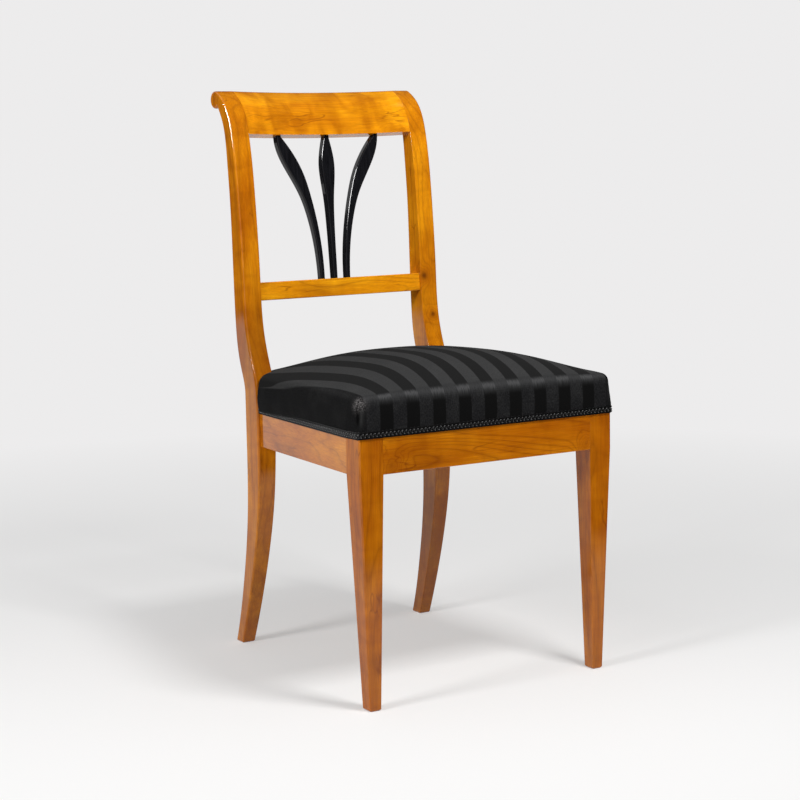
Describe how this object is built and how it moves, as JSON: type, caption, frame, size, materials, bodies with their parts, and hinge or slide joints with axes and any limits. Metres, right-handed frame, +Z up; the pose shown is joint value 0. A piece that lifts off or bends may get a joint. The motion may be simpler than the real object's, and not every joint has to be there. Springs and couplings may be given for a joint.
{
  "type": "side chair",
  "caption": "Side chair with scrolled sabre-leg rear posts, bowed crest and middle rail, fan-shaped ebonised splats, tapered front legs and a domed, stuffed-over striped seat edged with braid.",
  "frame": {"origin": "on the floor, under the middle of the chair's bounding box", "axes": "+Z up, the chair faces -Y, +X to the right as seen from the front"},
  "size_m": [0.4568, 0.546, 0.911],
  "materials": {
    "cherry": "French polished cherry, honey amber, glossy",
    "ebonised": "ebonised, black and glossy",
    "block": "plain sawn softwood",
    "jute": "woven jute",
    "tack": "blued iron",
    "stuffing": "curled hair",
    "cover": "black cloth with satin stripes",
    "braid": "black woven braid"
  },
  "bodies": {
    "root": {"rear_post_left": "cherry", "rear_post_right": "cherry", "front_leg_left": "cherry", "front_leg_right": "cherry", "side_seat_rail_left": "cherry", "side_seat_rail_right": "cherry", "front_seat_rail": "cherry", "back_seat_rail": "cherry", "crest_rail": "cherry", "middle_rail": "cherry", "splat_left": "ebonised", "splat_right": "ebonised", "splat_centre": "ebonised", "corner_block_front_left": "block", "corner_block_front_right": "block", "corner_block_rear_left": "block", "corner_block_rear_right": "block", "webbing_lengthwise": "jute", "webbing_crosswise": "jute", "webbing_tacks": "tack", "hessian": "jute", "stuffing": "stuffing", "seat_cover": "cover", "seat_braid": "braid", "back_braid": "braid"}
  },
  "joints": []
}
